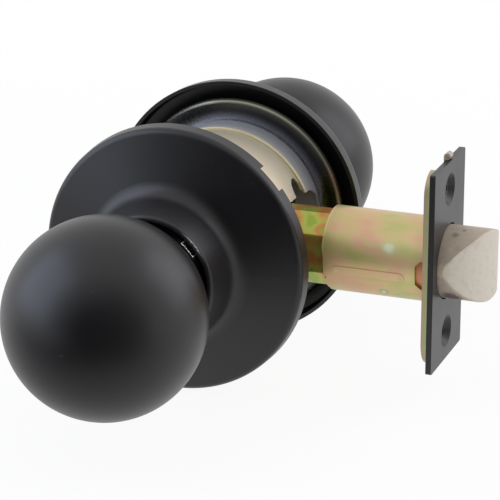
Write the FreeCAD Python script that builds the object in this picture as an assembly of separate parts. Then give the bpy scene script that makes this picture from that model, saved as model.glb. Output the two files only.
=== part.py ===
import FreeCAD, Part
import math
import os

# Cylindrical passage lock with ball knobs, set up for a door 44 mm thick. Millimetres.
# The knob axis is Y (inside of the door at -Y), the latch axis is X, and +Z is up.

Vector = FreeCAD.Vector
ORIGIN = Vector(0, 0, 0)
X_AXIS = Vector(1, 0, 0)
Y_AXIS = Vector(0, 1, 0)
Z_AXIS = Vector(0, 0, 1)
INSIDE = -1
OUTSIDE = 1

# Clearances
press_gap = 0.05
running_gap = 0.1
loose_gap = 0.3
through_margin = 2.0

# Knobs: hollow drawn balls with a straight neck
ball_radius = 27.0
knob_wall = 1.1
neck_hub_room = 1.6
neck_length = 36.95
neck_fillet = 1.6
ball_standoff_inside = 28.55
ball_standoff_outside = 23.35
insert_depth = 22.0

# Catch window in the neck, measured from the neck's end
catch_angle = 42.3
window_end_room = 2.0
window_length = 4.8
window_width = 4.4
catch_gap = 0.3
catch_top_depth = 2.1
catch_base_thickness = 1.2
catch_base_length = 9.0
catch_base_width = 5.8
catch_base_room = 2.1
leaf_thickness = 0.5
leaf_width = 3.6
leaf_length = 19.0
leaf_foot_length = 3.8
leaf_crown_length = 3.8
leaf_bend = 1.5

# Spindles and their roll-back cams
insert_thickness = 4.4
spindle_wall = 1.6
spindle_lap = 18.0
cam_start = 4.9
cam_thickness = 3.4
cam_radius = 11.4
cam_tip_radius = 1.8
latch_throw = 12.7
cam_half_turn = math.degrees(math.asin(latch_throw / 2 / cam_radius))

# Drum that fits the 54 mm cross bore
front_drum_radius = 26.5
drum_step = 0.25
drum_wall = 0.7
drum_half_length = 22.2
drum_corner = 2.0
seam_inset = 9.0
seam_lap = 3.2
seam_round = 0.3
joggle_length = 2.3
joggle_radius = 1.5
mouth_half_width = 6.6
mouth_half_height = 10.8
side_notch_half_height = 14.9
side_notch_flat = 0.2
side_notch_edge = 0.2
rear_mouth_rim = 1.0
rear_mouth_half_height = 10.2
rear_mouth_corner = 6.5

# Hubs and their ring nuts
hub_flange_width = 2.9
hub_flange_thickness = 1.2
nut_rise = 0.6
nut_width = 2.8
nut_slot_width = 3.0
nut_slot_depth = 1.2

# Rose plates and roses
plate_overhang = 6.0
plate_thickness = 3.0
plate_edge = 1.1
rose_overhang = 5.4
rose_wall = 1.0
rose_rim_lap = 0.3
rose_rim_height = 4.9
rose_corner_radius = 2.0
rose_draft = 0.3
rose_height = 9.7
collar_base_fillet = 5.5
collar_taper = 2.2
collar_height_inside = 12.9
collar_height_outside = 9.0
collar_top_roll = 1.0
collar_lip_width = 1.2
notch_angle = 43.2
notch_width = 7.8
notch_depth = 2.1

# Mounting screws
screw_drum_room = 4.1
screw_nut_room = 3.0
screw_radius = 2.0
screw_head_radius = 2.9
screw_head_height = 2.4
screw_slot_width = 1.0
screw_slot_depth = 1.1

# Chassis frame and retractor
frame_wall = 1.2
frame_half_height = 15.0
frame_drum_room = 0.79
frame_offset = 1.6
frame_corner = 2.0
frame_lip_gap = 0.3
retractor_half_thickness = 4.2
retractor_back = 5.9
retractor_base = 3.8
jaw_half_gap = 5.9
jaw_height = 5.6
jaw_lip_half_gap = 3.9
jaw_lip = 1.6
jaw_play = 0.4
jaw_lip_round = 0.5
retractor_round = 0.8
ear_height = 3.0
ear_length = 7.0
ear_reach = 8.1
ear_gap = 0.4
cam_ear_gap = 0.6
pocket_radius = 2.3
pocket_depth = 10.9
return_spring_radius = 1.7
return_spring_wire = 0.6
return_spring_turns = 9

# Latch
backset = 69.85
latch_standout = 0.85
faceplate_height = 57.15
faceplate_width = 28.575
faceplate_thickness = 1.6
faceplate_corner = 0.7
screw_hole_spacing = 41.275
screw_hole_radius = 2.6
countersink_radius = 4.6
countersink_angle = 82.0
backing_top = 28.2
backing_bottom = 27.6
backing_width = 28.0
backing_thickness = 1.6
backing_top_corner = 6.0
backing_bottom_corner = 8.0
backing_notch_half_width = 7.8
backing_notch_depth = 1.8
spigot_length = 5.5
tab_radius = 0.95
tab_bore = 0.4
tab_width = 2.6
tab_centre = 1.8
bolt_tube_room = 0.8
bolt_flat = 5.0
bolt_opening_gap = 0.45
bolt_nose_radius = 16.6
bolt_nose_rise = 0.5
bolt_body = 10.7
bolt_edge = 0.35
tube_radius = 11.8
tube_wall = 0.8
tube_start = 37.8
tube_window_length = 2.8
tube_window_low = -5.5
tube_window_high = 2.9
tube_window_chamfer = 1.4
tube_step = 0.65
tube_step_high = 3.8
tube_step_low = 0.7
tube_bite = 0.7
tube_bite_high = -4.0
tube_bite_low = -5.5
tube_corner = 1.6
tube_corner_high = -7.5
tube_corner_low = -11.0
bead_start = 40.8
bead_end = 61.6
bead_low = -4.0
bead_high = -1.1
bead_proud = 0.22
bead_flat = 0.02
case_start = 17.0
case_end = 41.5
case_wall = 0.9
case_bend = 1.0
case_half_width = 9.0
case_top = 10.4
case_top_half_flat = 2.6
case_shoulder = 5.9
case_hip = 4.9
case_bottom = 9.7
case_bottom_half_flat = 4.6
seat_thickness = 1.0
tail_thickness = 1.6
tail_half_height = 3.5
tail_head_half_height = 5.5
tail_head_length = 2.0
tail_head_place = 11.0
tail_socket = 2.0
tail_round = 0.5
latch_spring_radius = 6.6
latch_spring_wire = 0.9
latch_spring_turns = 5

# Places worked out from the sizes above
faceplate_front = backset + latch_standout
faceplate_back = faceplate_front - faceplate_thickness
backing_back = faceplate_back - backing_thickness
bolt_tip = faceplate_front + latch_throw
bolt_back = faceplate_front - bolt_body
rear_drum_radius = front_drum_radius + drum_step
seam_place = drum_half_length - seam_inset
joggle_start = seam_place - joggle_length
rear_mouth_end = drum_half_length - rear_mouth_rim
screw_offset = front_drum_radius - screw_drum_room
nut_radius = screw_offset - screw_nut_room
hub_radius = nut_radius - nut_width
hub_flange_radius = hub_radius + hub_flange_width
neck_radius = hub_radius - neck_hub_room
neck_bore = neck_radius - knob_wall
spindle_radius = neck_bore - insert_thickness
spindle_bore = spindle_radius - spindle_wall
spindle_reach = neck_length - spindle_lap
window_start = neck_length - window_end_room - window_length
catch_top_radius = neck_radius - catch_top_depth
catch_base_radius = spindle_bore - catch_base_room
side_notch_corner = (seam_place - mouth_half_width - side_notch_flat) / 2
bolt_radius = tube_radius - tube_wall - bolt_tube_room
plate_outer_face = drum_half_length + plate_thickness
plate_radius = front_drum_radius + plate_overhang
rose_radius = plate_radius + rose_overhang
rose_rim_place = drum_half_length - rose_rim_lap
rose_corner_place = rose_rim_place + rose_rim_height
collar_base_radius = nut_radius + loose_gap + rose_wall
collar_base_place = rose_rim_place + rose_height
collar_top_radius = collar_base_radius - collar_taper
hub_end = collar_base_place + nut_rise
collar_top = {INSIDE: collar_base_place + collar_height_inside,
              OUTSIDE: collar_base_place + collar_height_outside}
ball_centre = {INSIDE: collar_top[INSIDE] + ball_standoff_inside,
               OUTSIDE: collar_top[OUTSIDE] + ball_standoff_outside}
frame_reach = math.sqrt((front_drum_radius - drum_wall) ** 2 - frame_half_height ** 2)
frame_back = frame_reach - frame_drum_room
frame_front = frame_back - frame_offset
side_name = {INSIDE: "inside", OUTSIDE: "outside"}


def rounded_wire(points, closed=True):
    """Join points in the XY plane; a third value in a point rounds that corner."""
    count = len(points)
    places = [Vector(point[0], point[1], 0) for point in points]
    corners = []
    for index, point in enumerate(points):
        here = places[index]
        radius = point[2] if len(point) > 2 else 0
        is_end = not closed and index in (0, count - 1)
        if radius == 0 or is_end:
            corners.append((here, None, here))
            continue
        before = (places[index - 1] - here).normalize()
        after = (places[(index + 1) % count] - here).normalize()
        half_angle = before.getAngle(after) / 2
        reach = radius / math.tan(half_angle)
        inward = (before + after).normalize()
        middle = here + inward * (radius / math.sin(half_angle) - radius)
        corners.append((here + before * reach, middle, here + after * reach))
    edges = []
    for index, (enter, middle, leave) in enumerate(corners):
        if middle is not None:
            edges.append(Part.Arc(enter, middle, leave).toShape())
        if closed or index < count - 1:
            following = corners[(index + 1) % count][0]
            edges.append(Part.LineSegment(leave, following).toShape())
    return Part.Wire(edges)


def turned(points):
    """Solid of revolution about Y from (radius, y) corners."""
    return Part.Face(rounded_wire(points)).revolve(ORIGIN, Y_AXIS, 360)


def turned_sheet(wire, thickness):
    """Shell of revolution about Y: the wire is its outer face, the sheet lies inside it."""
    section = wire.makeOffset2D(thickness, 0, True, True)
    return section.revolve(ORIGIN, Y_AXIS, 360)


def prism_along_x(points, start, end):
    """Prism along X from (y, z) corners."""
    face = Part.Face(rounded_wire(points))
    face.rotate(ORIGIN, Vector(1, 1, 1), 120)
    face.translate(X_AXIS * start)
    return face.extrude(X_AXIS * (end - start))


def prism_along_y(points, start, end):
    """Prism along Y from (x, z) corners."""
    face = Part.Face(rounded_wire(points))
    face.rotate(ORIGIN, X_AXIS, 90)
    face.translate(Y_AXIS * start)
    return face.extrude(Y_AXIS * (end - start))


def block(x_range, y_range, z_range):
    size = [high - low for low, high in (x_range, y_range, z_range)]
    return Part.makeBox(size[0], size[1], size[2], Vector(x_range[0], y_range[0], z_range[0]))


def rod_x(radius, start, end, y=0.0, z=0.0):
    return Part.makeCylinder(radius, end - start, Vector(start, y, z), X_AXIS)


def rod_y(radius, start, end, x=0.0, z=0.0):
    low = min(start, end)
    return Part.makeCylinder(radius, abs(end - start), Vector(x, low, z), Y_AXIS)


def rectangle(x_range, y_range, corner=0.0):
    low_x, high_x = x_range
    low_y, high_y = y_range
    return [(low_x, low_y, corner), (high_x, low_y, corner),
            (high_x, high_y, corner), (low_x, high_y, corner)]


def ordered(first, second):
    return (min(first, second), max(first, second))


def turned_to(shape, angle):
    """Swing a shape built on the +X side round Y to the angle above +X."""
    shape.rotate(ORIGIN, Y_AXIS, -angle)
    return shape


def coil_along_x(radius, wire_radius, start, end, turns, z=0.0):
    """Compression spring with its ends inside start and end."""
    length = end - start - 2 * wire_radius
    helix = Part.makeLongHelix(length / turns, length, radius)
    section = Part.Wire(Part.makeCircle(wire_radius, Vector(radius, 0, 0), Y_AXIS))
    spring = Part.Wire(helix.Edges).makePipeShell([section], True, True)
    spring.rotate(ORIGIN, Y_AXIS, 90)
    spring.translate(Vector(start + wire_radius, 0, z))
    return spring


def catch_window(side, low_radius, gap=0.0):
    """Cutter for the catch window through neck, insert or spindle."""
    near = side * (ball_centre[side] - window_start + gap)
    far = side * (ball_centre[side] - window_start - window_length - gap)
    half_width = window_width / 2 + gap
    cutter = block((low_radius, neck_radius + through_margin),
                   ordered(near, far), (-half_width, half_width))
    return turned_to(cutter, catch_angle)


def knob(side):
    """Drawn ball and neck in one sheet, with the catch window."""
    centre = ball_centre[side]
    fillet_radial = neck_radius + neck_fillet
    fillet_axial = math.sqrt((ball_radius + neck_fillet) ** 2 - fillet_radial ** 2)
    fillet_centre = Vector(fillet_radial, side * (centre - fillet_axial), 0)
    ball_middle = Vector(0, side * centre, 0)
    to_ball = (ball_middle - fillet_centre).normalize()
    neck_top = Vector(neck_radius, fillet_centre.y, 0)
    ball_start = fillet_centre + to_ball * neck_fillet
    to_neck = (neck_top - fillet_centre).normalize()
    fillet_middle = fillet_centre + (to_ball + to_neck).normalize() * neck_fillet
    pole = Vector(0, side * (centre + ball_radius), 0)
    start_angle = math.atan2(side * (ball_start.y - ball_middle.y), ball_start.x)
    arc_angle = (start_angle + math.pi / 2) / 2
    ball_side = ball_middle + Vector(math.cos(arc_angle), side * math.sin(arc_angle), 0) * ball_radius
    neck_end = Vector(neck_radius, side * (centre - neck_length), 0)
    wire = Part.Wire([Part.LineSegment(neck_end, neck_top).toShape(),
                      Part.Arc(neck_top, fillet_middle, ball_start).toShape(),
                      Part.Arc(ball_start, ball_side, pole).toShape()])
    shell = turned_sheet(wire, -side * knob_wall)
    return shell.cut(catch_window(side, spindle_radius))


def knob_insert(side):
    """Plug pressed in the neck; its bore seats on the spindle."""
    end = ball_centre[side] - neck_length
    bore = spindle_radius + press_gap
    outer = neck_bore - press_gap
    points = rectangle((bore, outer), ordered(side * end, side * (end + insert_depth)))
    return turned(points).cut(catch_window(side, spindle_bore))


def spindle(side):
    """Tube with a closed inner end that carries two roll-back cams."""
    end = ball_centre[side] - spindle_reach
    cam_end = cam_start + cam_thickness
    tube = rod_y(spindle_radius, side * cam_start, side * end)
    tube = tube.cut(rod_y(spindle_bore, side * cam_end, side * (end + through_margin)))
    tube = tube.cut(catch_window(side, 0, catch_gap))
    for turn in (90 - cam_half_turn, cam_half_turn - 90):
        arm = block((0, cam_radius), ordered(side * cam_start, side * cam_end),
                    (-cam_tip_radius, cam_tip_radius))
        tip = rod_y(cam_tip_radius, side * cam_start, side * cam_end, x=cam_radius)
        tube = tube.fuse(turned_to(arm.fuse(tip), turn))
    return tube.removeSplitter()


def knob_catch(side):
    """Catch: a nose in the window on a base held inside the spindle."""
    middle = ball_centre[side] - window_start - window_length / 2
    nose_half_length = window_length / 2 - catch_gap
    nose_half_width = window_width / 2 - catch_gap
    base_top = catch_base_radius + catch_base_thickness
    nose = block((base_top - press_gap, catch_top_radius),
                 (-nose_half_length, nose_half_length), (-nose_half_width, nose_half_width))
    top_edges = [edge for edge in nose.Edges if edge.CenterOfMass.x > catch_top_radius - press_gap]
    nose = nose.makeFillet(catch_gap, top_edges)
    base = block((catch_base_radius, base_top), (-catch_base_length / 2, catch_base_length / 2),
                 (-catch_base_width / 2, catch_base_width / 2))
    catch = nose.fuse(base).removeSplitter()
    catch.translate(Y_AXIS * side * middle)
    return turned_to(catch, catch_angle)


def catch_spring(side):
    """Bowed leaf between the catch and the far wall of the spindle."""
    middle = ball_centre[side] - window_start - window_length / 2
    crown = catch_base_radius - press_gap
    foot_radius = math.sqrt(spindle_bore ** 2 - (leaf_width / 2) ** 2) - running_gap
    foot = leaf_thickness - foot_radius
    half_length = leaf_length / 2
    foot_start = half_length - leaf_foot_length
    crown_half = leaf_crown_length / 2
    points = [(foot, -half_length), (foot, -foot_start, leaf_bend), (crown, -crown_half, leaf_bend),
              (crown, crown_half, leaf_bend), (foot, foot_start, leaf_bend), (foot, half_length)]
    wire = rounded_wire(points, closed=False)
    leaf = wire.makeOffset2D(-leaf_thickness, 0, True, True)
    leaf.translate(Z_AXIS * -leaf_width / 2)
    leaf = leaf.extrude(Z_AXIS * leaf_width)
    leaf.translate(Y_AXIS * side * middle)
    return turned_to(leaf, catch_angle)


def hub(side):
    """Flanged bearing tube, staked in the end of the drum."""
    bore = spindle_radius + running_gap
    flange_face = drum_half_length - drum_wall
    flange_back = flange_face - hub_flange_thickness
    points = [(bore, side * flange_back), (hub_flange_radius, side * flange_back),
              (hub_flange_radius, side * flange_face), (hub_radius, side * flange_face),
              (hub_radius, side * hub_end), (bore, side * hub_end)]
    neck_end = ball_centre[side] - neck_length
    recess_bottom = neck_end - loose_gap
    body = turned(points)
    if recess_bottom < hub_end:
        recess = rod_y(neck_radius + loose_gap, side * recess_bottom, side * (hub_end + through_margin))
        body = body.cut(recess)
    return body


def hub_nut(side):
    """Slotted ring nut on the hub that clamps the rose plate and centres the rose's collar."""
    points = rectangle((hub_radius + press_gap, nut_radius),
                       ordered(side * plate_outer_face, side * hub_end))
    nut = turned(points)
    slot_floor = hub_end - nut_slot_depth
    for angle in range(0, 180, 45):
        slot = block((-nut_radius - through_margin, nut_radius + through_margin),
                     ordered(side * slot_floor, side * (hub_end + through_margin)),
                     (-nut_slot_width / 2, nut_slot_width / 2))
        nut = nut.cut(turned_to(slot, angle))
    return nut


def screw_rods(radius, start, end):
    rods = [rod_y(radius, start, end, z=place) for place in (-screw_offset, screw_offset)]
    return Part.makeCompound(rods)


def front_housing():
    """Inside half of the drum, joggled at its end to slip under the rear half."""
    lap_radius = rear_drum_radius - drum_wall - press_gap
    points = [(hub_radius + press_gap, -drum_half_length),
              (front_drum_radius, -drum_half_length, drum_corner),
              (front_drum_radius, joggle_start, joggle_radius),
              (lap_radius, seam_place, joggle_radius),
              (lap_radius, seam_place + seam_lap)]
    shell = turned_sheet(rounded_wire(points, closed=False), -drum_wall)
    reach = (front_drum_radius / 2, front_drum_radius + through_margin)
    lap_end = seam_place + seam_lap + through_margin
    mouth = prism_along_x(rectangle((-mouth_half_width - press_gap, lap_end),
                                    (-mouth_half_height, mouth_half_height)), *reach)
    for notch in ((mouth_half_width, seam_place), (-seam_place, -mouth_half_width)):
        mouth = mouth.fuse(prism_along_x(rectangle(notch, (-side_notch_half_height,
                                                           side_notch_half_height),
                                                   side_notch_corner), *reach))
    screws = screw_rods(screw_radius + loose_gap, -drum_half_length - through_margin, -drum_half_length / 2)
    shell = shell.cut(mouth).cut(screws)
    notch_edges = [edge for edge in shell.Edges
                   if abs(edge.BoundBox.YMin - mouth_half_width) < press_gap
                   and all(math.hypot(corner.X, corner.Z) > front_drum_radius - press_gap
                           for corner in edge.Vertexes)]
    return shell.makeFillet(side_notch_edge, notch_edges)


def rear_housing():
    """Outside half of the drum, lapped over the front half."""
    points = [(hub_radius + press_gap, drum_half_length),
              (rear_drum_radius, drum_half_length, drum_corner),
              (rear_drum_radius, seam_place)]
    shell = turned_sheet(rounded_wire(points, closed=False), drum_wall)
    seam_edges = [edge for edge in shell.Edges if abs(edge.BoundBox.YMax - seam_place) < press_gap
                  and edge.BoundBox.XMax > rear_drum_radius - press_gap]
    shell = shell.makeFillet(seam_round, seam_edges)
    mouth_points = [(seam_place - through_margin, -rear_mouth_half_height),
                    (rear_mouth_end, -rear_mouth_half_height, rear_mouth_corner),
                    (rear_mouth_end, rear_mouth_half_height, rear_mouth_corner),
                    (seam_place - through_margin, rear_mouth_half_height)]
    mouth = prism_along_x(mouth_points, rear_drum_radius / 2, rear_drum_radius + through_margin)
    screws = screw_rods(screw_radius + loose_gap, drum_half_length / 2, drum_half_length + through_margin)
    return shell.cut(mouth).cut(screws)


def rose_plate(side):
    """Thick stamped disc against the door, with the screw holes."""
    hole = hub_radius + press_gap
    points = [(hole, side * drum_half_length), (plate_radius - plate_edge, side * drum_half_length),
              (plate_radius, side * (drum_half_length + plate_edge)),
              (plate_radius, side * plate_outer_face), (hole, side * plate_outer_face)]
    screws = screw_rods(screw_radius + running_gap, side * (drum_half_length - through_margin),
                        side * (plate_outer_face + through_margin))
    return turned(points).cut(screws)


def rose(side):
    """Drawn cover: rim, slightly domed face and tall collar round the knob neck."""
    top = collar_top[side]
    points = [(rose_radius, side * rose_rim_place),
              (rose_radius - rose_draft, side * rose_corner_place, rose_corner_radius),
              (collar_base_radius, side * collar_base_place, collar_base_fillet),
              (collar_top_radius, side * top, collar_top_roll),
              (collar_top_radius - collar_lip_width, side * top)]
    return turned_sheet(rounded_wire(points, closed=False), -side * rose_wall)


def inside_rose():
    """Inside rose with the pry notch in its rim."""
    floor = rose_rim_place + notch_depth
    cutter = block((rose_radius / 2, rose_radius + through_margin),
                   (-floor, -rose_rim_place + through_margin), (-notch_width / 2, notch_width / 2))
    return rose(INSIDE).cut(turned_to(cutter, notch_angle))


def mounting_screws():
    """Two machine screws from the inside plate to threaded holes in the outside plate."""
    head_start = -plate_outer_face - screw_head_height
    screws = []
    for place in (-screw_offset, screw_offset):
        shank = rod_y(screw_radius, -plate_outer_face, plate_outer_face, z=place)
        head = rod_y(screw_head_radius, head_start, -plate_outer_face, z=place)
        slot = block((-screw_head_radius - through_margin, screw_head_radius + through_margin),
                     (head_start - through_margin, head_start + screw_slot_depth),
                     (place - screw_slot_width / 2, place + screw_slot_width / 2))
        screws.append(shank.fuse(head.cut(slot)))
    return Part.makeCompound(screws)


def chassis_frame():
    """Folded strip that guides the retractor and takes the latch between its lips."""
    case_half_height = latch_case_corners()[0][1]
    lip = case_half_height + frame_lip_gap
    points = [(frame_front, -lip), (frame_front, -frame_half_height, frame_corner),
              (-frame_back, -frame_half_height, frame_corner),
              (-frame_back, frame_half_height, frame_corner),
              (frame_front, frame_half_height, frame_corner), (frame_front, lip)]
    wire = rounded_wire(points, closed=False)
    section = wire.makeOffset2D(frame_wall, 0, True, True)
    section.rotate(ORIGIN, X_AXIS, 90)
    half_length = drum_half_length - drum_wall - hub_flange_thickness - running_gap
    section.translate(Y_AXIS * -half_length)
    return section.extrude(Y_AXIS * 2 * half_length)


def spring_line():
    return jaw_half_gap + jaw_height / 2


def retractor():
    """Slide with two hooked jaws for the latch tail, two ears for the cams, two pockets."""
    inner_height = frame_half_height - frame_wall - loose_gap
    base_front = retractor_base - retractor_back
    jaw_top = jaw_half_gap + jaw_height
    lip_start = tail_head_place + tail_head_length + jaw_play
    lip_end = lip_start + jaw_lip
    half = [(-retractor_back, 0), (-retractor_back, inner_height, retractor_round),
            (base_front, inner_height, retractor_round), (base_front, jaw_top),
            (lip_end, jaw_top, retractor_round), (lip_end, jaw_lip_half_gap, jaw_lip_round),
            (lip_start, jaw_lip_half_gap), (lip_start, jaw_half_gap), (base_front, jaw_half_gap),
            (base_front, 0)]
    upper = prism_along_y(half, -retractor_half_thickness, retractor_half_thickness)
    cam_left = cam_radius * math.sin(math.radians(cam_half_turn)) - cam_tip_radius
    ear_front = cam_left - cam_ear_gap
    ear_low = spindle_radius + ear_gap
    ear = block((ear_front - ear_length, ear_front), (-ear_reach, -retractor_half_thickness / 2),
                (ear_low, ear_low + ear_height))
    pocket = rod_x(pocket_radius, -retractor_back - through_margin, pocket_depth - retractor_back,
                   z=spring_line())
    upper = upper.fuse(ear).cut(pocket)
    lower = upper.mirror(ORIGIN, Z_AXIS)
    return upper.fuse(lower).removeSplitter()


def retractor_springs():
    """Two return springs between the back of the frame and the retractor's pockets."""
    start = frame_wall - frame_back
    end = pocket_depth - retractor_back
    springs = [coil_along_x(return_spring_radius, return_spring_wire / 2, start, end,
                            return_spring_turns, z=place)
               for place in (-spring_line(), spring_line())]
    return Part.makeCompound(springs)


def bolt_outline(radius, flat, start, end):
    """Round bar along X with its strike side cut flat."""
    bar = rod_x(radius, start, end)
    reach = 2 * radius
    side = block((start - through_margin, end + through_margin), (flat, reach), (-reach, reach))
    return bar.cut(side)


def latch_bolt():
    """Round bolt with a curved bevel towards the inside and a flat strike side."""
    nose_centre = bolt_tip - math.sqrt(bolt_nose_radius ** 2 - bolt_nose_rise ** 2)
    reach = 2 * bolt_radius
    bevel = Part.makeCylinder(bolt_nose_radius, 2 * reach,
                              Vector(nose_centre, bolt_flat + bolt_nose_rise, -reach))
    body = block((bolt_back, nose_centre), (-reach, reach), (-reach, reach))
    bar = bolt_outline(bolt_radius, bolt_flat, bolt_back, bolt_tip)
    bolt = bar.common(bevel.fuse(body))
    tip_edges = [edge for edge in bolt.Edges if edge.CenterOfMass.x > faceplate_front
                 and edge.BoundBox.XLength > bolt_edge]
    bolt = bolt.makeFillet(bolt_edge, tip_edges)
    socket_half = tail_thickness / 2 + press_gap
    socket_height = tail_half_height + press_gap
    socket = block((bolt_back - through_margin, bolt_back + tail_socket), (-socket_half, socket_half),
                   (-socket_height, socket_height))
    return bolt.cut(socket)


def latch_tail():
    """Flat bar from the bolt to the retractor, with a T head behind the jaws."""
    head_end = tail_head_place + tail_head_length
    upper = [(bolt_back + tail_socket, tail_half_height), (head_end, tail_half_height, tail_round),
             (head_end, tail_head_half_height, tail_round),
             (tail_head_place, tail_head_half_height, tail_round)]
    lower = [(x, -z, *corner) for x, z, *corner in reversed(upper)]
    return prism_along_y(upper + lower, -tail_thickness / 2, tail_thickness / 2)


def latch_spring():
    """Spring round the tail, from its seat to the back of the bolt."""
    return coil_along_x(latch_spring_radius, latch_spring_wire / 2, case_end + seat_thickness,
                        bolt_back, latch_spring_turns)


def latch_spring_seat():
    """Washer at the end of the latch case, slotted for the tail."""
    slot = block((case_end - through_margin, case_end + seat_thickness + through_margin),
                 (-tail_thickness / 2 - loose_gap, tail_thickness / 2 + loose_gap),
                 (-tail_half_height - loose_gap, tail_half_height + loose_gap))
    outer = tube_radius - tube_wall - press_gap
    return rod_x(outer, case_end, case_end + seat_thickness).cut(slot)


def latch_case_corners():
    """Section of the faceted case: narrow flats above and below, upright sides."""
    half = [(case_top_half_flat, case_top), (case_half_width, case_shoulder),
            (case_half_width, -case_hip), (case_bottom_half_flat, -case_bottom)]
    return half + [(-y, z) for y, z in reversed(half)]


def latch_case():
    """Folded case that guides the tail and enters the drum."""
    corners = [(y, z, case_bend) for y, z in latch_case_corners()]
    outer = Part.Face(rounded_wire(corners))
    inner = Part.Face(rounded_wire(corners).makeOffset2D(-case_wall))
    section = outer.cut(inner)
    section.rotate(ORIGIN, Vector(1, 1, 1), 120)
    section.translate(X_AXIS * case_start)
    return section.extrude(X_AXIS * (case_end - case_start))


def latch_tube():
    """Round tube between case and backing plate, with a bead and an end window."""
    bore = tube_radius - tube_wall
    hollow = rod_x(bore, tube_start - through_margin, backing_back + through_margin)
    tube = rod_x(tube_radius, tube_start, backing_back).cut(hollow)
    window_start_x = backing_back - tube_window_length
    window_end_x = backing_back + through_margin
    chamfer = tube_window_chamfer
    points = [(window_start_x + chamfer, tube_window_low), (window_end_x, tube_window_low),
              (window_end_x, tube_window_high), (window_start_x + chamfer, tube_window_high),
              (window_start_x, tube_window_high - chamfer), (window_start_x, tube_window_low + chamfer)]
    window = prism_along_y(points, -tube_radius - through_margin, -tube_radius / 2)
    bead_radius = (bead_high - bead_low) / 2 - bead_flat
    bead_area = prism_along_y(rectangle((bead_start, bead_end), (bead_low, bead_high), bead_radius),
                              -tube_radius - through_margin, -tube_radius / 2)
    ring = rod_x(tube_radius + bead_proud, bead_start, bead_end).cut(rod_x(bore, bead_start, bead_end))
    below = -tube_radius - through_margin
    bite = tube_step + tube_bite
    steps = [(-through_margin, below), (tube_corner, below), (tube_corner, tube_corner_low),
             (tube_step, tube_corner_high), (tube_step, tube_bite_low), (bite, tube_bite_low, tube_bite / 2),
             (bite, tube_bite_high, tube_bite / 2), (tube_step, tube_bite_high),
             (tube_step, tube_step_low), (0, tube_step_high), (-through_margin, tube_step_high)]
    relief = prism_along_y([(tube_start + x, *rest) for x, *rest in steps], below, -tube_radius / 4)
    return tube.fuse(ring.common(bead_area)).cut(window).cut(relief)


def plate_along_x(width, height, corner, start, end):
    return prism_along_x(rectangle((-width / 2, width / 2), (-height / 2, height / 2), corner), start, end)


def backing_plate():
    """Plate behind the faceplate, with the spigot for the tube and a curled tab on top."""
    half_width = backing_width / 2
    notch_floor = backing_top - backing_notch_depth
    outline = [(-half_width, -backing_bottom, backing_bottom_corner),
               (half_width, -backing_bottom, backing_bottom_corner),
               (half_width, backing_top, backing_top_corner), (backing_notch_half_width, backing_top),
               (backing_notch_half_width, notch_floor), (-backing_notch_half_width, notch_floor),
               (-backing_notch_half_width, backing_top), (-half_width, backing_top, backing_top_corner)]
    plate = prism_along_x(outline, backing_back, faceplate_back)
    spigot_bore = bolt_radius + loose_gap
    spigot_radius = tube_radius - tube_wall - press_gap
    spigot = rod_x(spigot_radius, backing_back - spigot_length, backing_back)
    hollow = rod_x(spigot_bore, backing_back - spigot_length - through_margin,
                   faceplate_back + through_margin)
    body = plate.fuse(spigot).cut(hollow)
    for place in (-screw_hole_spacing / 2, screw_hole_spacing / 2):
        body = body.cut(rod_x(screw_hole_radius, backing_back - through_margin,
                              faceplate_back + through_margin, z=place))
    tab_low = notch_floor - through_margin
    tab_height = faceplate_height / 2 + press_gap + tab_radius
    tab_start = tab_centre - tab_width / 2
    strip = block((faceplate_back - tab_radius + tab_bore, faceplate_back),
                  (tab_start, tab_start + tab_width), (tab_low, tab_height))
    curl_x = faceplate_back + tab_bore
    curl = rod_y(tab_radius, tab_start, tab_start + tab_width, x=curl_x, z=tab_height)
    eye = rod_y(tab_bore, tab_start - through_margin, tab_start + tab_width + through_margin,
                x=curl_x, z=tab_height)
    return body.fuse(strip).fuse(curl).cut(eye).removeSplitter()


def faceplate():
    """Front plate: hole for the bolt and two countersunk screw holes."""
    plate = plate_along_x(faceplate_width, faceplate_height, faceplate_corner,
                          faceplate_back, faceplate_front)
    opening = bolt_outline(bolt_radius + bolt_opening_gap, bolt_flat + bolt_opening_gap,
                           faceplate_back - through_margin, faceplate_front + through_margin)
    plate = plate.cut(opening)
    slope = math.tan(math.radians(countersink_angle / 2))
    depth = faceplate_thickness + through_margin
    for place in (-screw_hole_spacing / 2, screw_hole_spacing / 2):
        cone = Part.makeCone(countersink_radius - depth * slope,
                             countersink_radius + through_margin * slope, depth + through_margin,
                             Vector(faceplate_front - depth, 0, place), X_AXIS)
        plate = plate.cut(cone)
    return plate


def save(name, shape):
    if not shape.isValid():
        raise ValueError(name + " is not a valid shape")
    shape.exportStep("parts/" + name + ".step")


def main():
    os.makedirs("parts", exist_ok=True)
    for side in (INSIDE, OUTSIDE):
        name = side_name[side]
        save(name + "_knob", knob(side))
        save(name + "_knob_insert", knob_insert(side))
        save(name + "_spindle", spindle(side))
        save(name + "_catch", knob_catch(side))
        save(name + "_catch_spring", catch_spring(side))
        save(name + "_hub", hub(side))
        save(name + "_hub_nut", hub_nut(side))
        save(name + "_rose_plate", rose_plate(side))
    save("inside_rose", inside_rose())
    save("outside_rose", rose(OUTSIDE))
    save("front_housing", front_housing())
    save("rear_housing", rear_housing())
    save("mounting_screws", mounting_screws())
    save("chassis_frame", chassis_frame())
    save("retractor", retractor())
    save("retractor_springs", retractor_springs())
    save("latch_bolt", latch_bolt())
    save("latch_tail", latch_tail())
    save("latch_spring", latch_spring())
    save("latch_spring_seat", latch_spring_seat())
    save("latch_case", latch_case())
    save("latch_tube", latch_tube())
    save("backing_plate", backing_plate())
    save("faceplate", faceplate())


main()
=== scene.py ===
# Looks of a cylindrical door lock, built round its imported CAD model.
import math

import bmesh
import bpy
from mathutils import Matrix, Vector


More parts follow.
